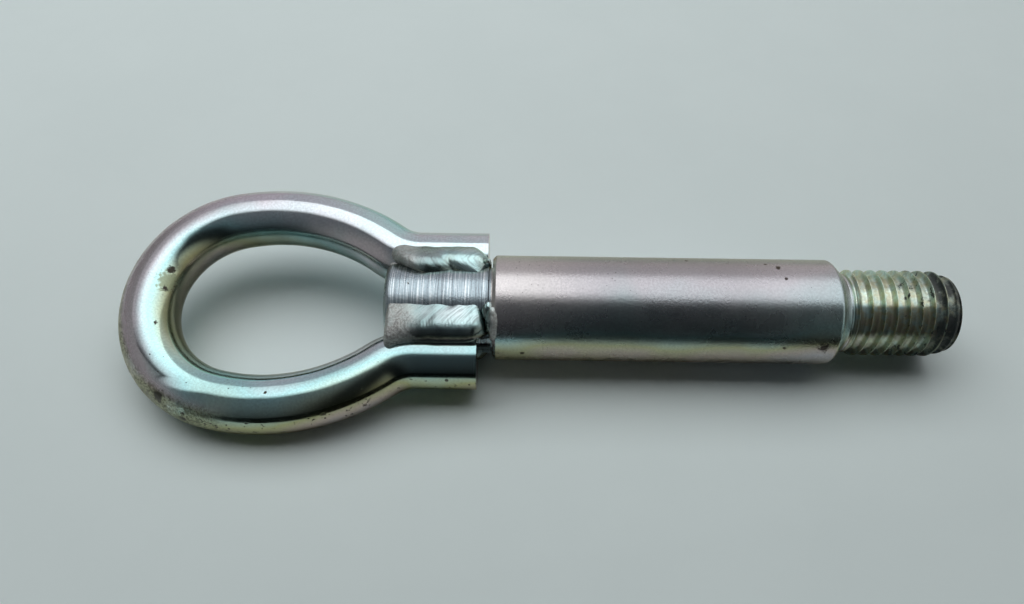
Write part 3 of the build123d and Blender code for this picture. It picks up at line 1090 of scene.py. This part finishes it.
drops = (
    ((-73.9 * MM, 10.3 * MM, 142), (1.35 * MM, 3.0 * MM, 1.0 * MM)),
    ((-74.6 * MM, 9.5 * MM, 131), (1.3 * MM, 2.0 * MM, 0.9 * MM)),
    ((-73.7 * MM, 10.5 * MM, 156), (0.9 * MM, 1.5 * MM, 0.75 * MM)),
    ((-75.0 * MM, 10.6 * MM, 62), (0.5 * MM, 0.5 * MM, 0.5 * MM)),
    ((-76.9 * MM, 11.2 * MM, 160), (0.45 * MM, 0.5 * MM, 0.45 * MM)),
    ((-91.0 * MM, 9.1 * MM, 95), (0.16 * MM, 0.18 * MM, 0.12 * MM)),
)
spatter = made_by("weld_spatter_drops", spatter_mesh(drops), spatter_tree(),
                  lumps=0.5 * MM, finish=weld_zinc)
close_up(spatter, math.radians(60))
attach(spatter, "root")


# Floor and light. A pale grey-green sheet under one broad soft panel overhead, with a dim warm grey wall
# beyond the far side and the room dark on the near side, as glossy metal shows them.
floor_half = 3.0
floor_colours = (0.85, 0.965, 0.965, 1), (0.865, 0.98, 0.98, 1)
backdrop = (0.50, 0.58, 0.59, 1)
fade_start = 0.24
fade_end = 0.50


def floor_finish():
    """Pale painted sheet with a very faint mottle, fading into the backdrop well away from the part."""
    material, tree, shader = new_material("pale_floor")
    coords = place_on_piece(tree)
    mottle = noise_value(tree, coords, 22.0, 4.0, 0.6)
    colour = mix_colour(tree, ramp(tree, mottle, 0.35, 0.65), *floor_colours)
    seen = add_node(tree, "ShaderNodeLightPath").outputs["Is Camera Ray"]
    faded = times(tree, ramp(tree, vector_maths(tree, "LENGTH", coords), fade_start, fade_end), seen)
    connect(tree, shader, Base_Color=mix_colour(tree, faded, colour, black), Emission_Strength=faded)
    shader["Emission Color"].default_value = backdrop
    shader["Roughness"].default_value = 0.6
    shader["Specular IOR Level"].default_value = 0.2
    return material


def stage_sheet(name, corners, material):
    """Flat sheet with four corners, marked as stage."""
    sheet_mesh = bpy.data.meshes.new(name)
    sheet_mesh.from_pydata(corners, [], [(0, 1, 2, 3)])
    sheet_mesh.materials.append(material)
    sheet = bpy.data.objects.new(name, sheet_mesh)
    bpy.context.scene.collection.objects.link(sheet)
    return sheet


stage_sheet("floor", [
    (x * floor_half, y * floor_half, cad_low.z) for x, y in ((-1, -1), (1, -1), (1, 1), (-1, 1))
], floor_finish())

# The panel overhead is two sheets in one place: one that only glossy metal sees, and one that only lights.
panel_height = 0.60
panel_low_x = -0.75
panel_high_x = 1.90
dim_low_x = -0.60
bright_x = -0.15
dim_high_x = 0.75
mirrored_radiance = 1.80
mirrored_edge = -0.126
mirrored_slant = -0.20
mirrored_softness = 0.075
mirrored_far_turn = math.radians(40)
lighting_radiance = 1.86
lighting_edge = -0.04
lighting_softness = 0.01
lighting_far_turn = math.radians(46)


def glow_finish(name, radiance, low_x_share, high_x_share, edge, slant, softness):
    """Light of a panel, with the shares left at its two ends, dimming at its slanting near edge."""
    material, tree, _ = new_material(name)
    place = split(tree, place_on_piece(tree))
    glow = ramp(tree, place["X"], dim_low_x, bright_x, low_x_share * radiance, radiance)
    glow = times(tree, glow, ramp(tree, place["X"], bright_x, dim_high_x, 1.0, high_x_share))
    inside = maths(tree, "SUBTRACT", place["Y"], maths(tree, "MULTIPLY_ADD", place["X"], slant, edge))
    glow = times(tree, glow, ramp(tree, inside, -softness, softness, 0.06, 1.0))
    light = add_node(tree, "ShaderNodeEmission", (("Strength", glow),)).outputs[0]
    tree.links.new(light, tree.nodes["Material Output"].inputs["Surface"])
    return material


def panel(name, edge, slant, far_turn, glow):
    """Level sheet of light from a slanting near edge to an angle from the vertical; it shades nothing."""
    far_y = panel_height * math.tan(far_turn)
    low_end, high_end = ((x, edge + slant * x, panel_height) for x in (panel_low_x, panel_high_x))
    corners = (low_end, high_end, (panel_high_x, far_y, panel_height), (panel_low_x, far_y, panel_height))
    made = stage_sheet(name, corners, glow)
    made.visible_shadow = False
    return made


mirrored_panel = panel(
    "panel_seen_in_metal", mirrored_edge - mirrored_softness, mirrored_slant, mirrored_far_turn,
    glow_finish("panel_glow", mirrored_radiance, 0.25, 0.62,
                mirrored_edge, mirrored_slant, mirrored_softness))
mirrored_panel.visible_diffuse = False
lighting_panel = panel(
    "panel_lighting_floor", lighting_edge - lighting_softness, 0.0, lighting_far_turn,
    glow_finish("panel_light", lighting_radiance, 1.0, 0.04, lighting_edge, 0.0, lighting_softness))
lighting_panel.visible_glossy = False

# A dark sheet on the near side, seen only in reflections, stands in for the dark room beyond the floor's
# edge: a painted dark reflection.
dark_reflection_colour = (0.012, 0.014, 0.014, 1)
dark_reflection_ends = (-0.60, -0.135), (0.10, -0.024)
dark_reflection_top = 3.0 * MM


def dark_reflection_finish():
    """Black sheet: a painted dark reflection."""
    material, _, shader = new_material("black_cloth")
    shader["Base Color"].default_value = dark_reflection_colour
    shader["Roughness"].default_value = 0.9
    shader["Specular IOR Level"].default_value = 0.0
    return material


flag = stage_sheet("flag", [
    *((*end, cad_low.z) for end in dark_reflection_ends), *((*end, dark_reflection_top) for end in reversed(dark_reflection_ends)),
], dark_reflection_finish())
flag.visible_camera = False
flag.visible_diffuse = False
flag.visible_shadow = False

near_room = (0.018, 0.020, 0.022, 1)
ceiling = (0.150, 0.155, 0.165, 1)
dark_corner = (0.006, 0.008, 0.010, 1)
far_wall_colours = (0.50, 0.48, 0.51, 1), (0.72, 0.68, 0.68, 1)
thread_wall = (0.50, 0.50, 0.47, 1)
eye_wall = (0.26, 0.26, 0.25, 1)
fill_light = (0.018, 0.020, 0.020, 1)


def room_light():
    """World: dark room on the near side, dim walls on the others, and a pale backdrop for the camera."""
    world = bpy.data.worlds.new("room")
    bpy.context.scene.world = world
    world.use_nodes = True
    tree = world.node_tree
    heading = split(tree, add_node(tree, "ShaderNodeTexCoord").outputs["Generated"])
    colour = mix_colour(tree, ramp(tree, heading["Z"], 0.0, 1.0, kind="LINEAR"), near_room, ceiling)
    colour = mix_colour(tree, ramp(tree, heading["X"], -0.10, 0.20, 0.0, 0.9), colour, dark_corner)
    far_wall = mix_colour(tree, ramp(tree, heading["X"], -0.30, 0.20), *far_wall_colours)
    for axis, low, high, wall in (
        ("Y", 0.05, 0.55, far_wall), ("X", 0.35, 0.75, thread_wall), ("X", -0.35, -0.75, eye_wall),
    ):
        colour = mix_colour(tree, ramp(tree, heading[axis], low, high), colour, wall)
    rays = add_node(tree, "ShaderNodeLightPath").outputs
    colour = mix_colour(tree, rays["Is Glossy Ray"], fill_light, colour)
    colour = mix_colour(tree, rays["Is Camera Ray"], colour, backdrop)
    tree.links.new(colour, tree.nodes["Background"].inputs["Color"])


room_light()
bpy.context.scene.view_settings.view_transform = "Standard"


# Camera. Held over the near side, looking down across the shank, as the part was pictured.
camera_tilt = math.radians(36.5)
camera_roll = math.radians(0.8)
camera_distance = 160.6 * MM
camera_aim = Vector((-70.0 * MM, 0, 0))
camera_lift = 1.2 * MM

to_camera = Vector((0, -math.sin(camera_tilt), math.cos(camera_tilt)))
level_up = Vector((0, math.cos(camera_tilt), math.sin(camera_tilt)))
level_right = Vector((1, 0, 0))
right = level_right * math.cos(camera_roll) + level_up * math.sin(camera_roll)
up = level_up * math.cos(camera_roll) - level_right * math.sin(camera_roll)
camera_data = bpy.data.cameras.new("camera")
camera_data.sensor_width = 36.0
camera_data.lens = 26.65
camera_data.clip_start = 0.005
camera = bpy.data.objects.new("camera", camera_data)
place = camera_aim + level_up * camera_lift + to_camera * camera_distance
camera.matrix_world = Matrix.Translation(place) @ Matrix((right, up, to_camera)).transposed().to_4x4()
bpy.context.scene.collection.objects.link(camera)
bpy.context.scene.camera = camera
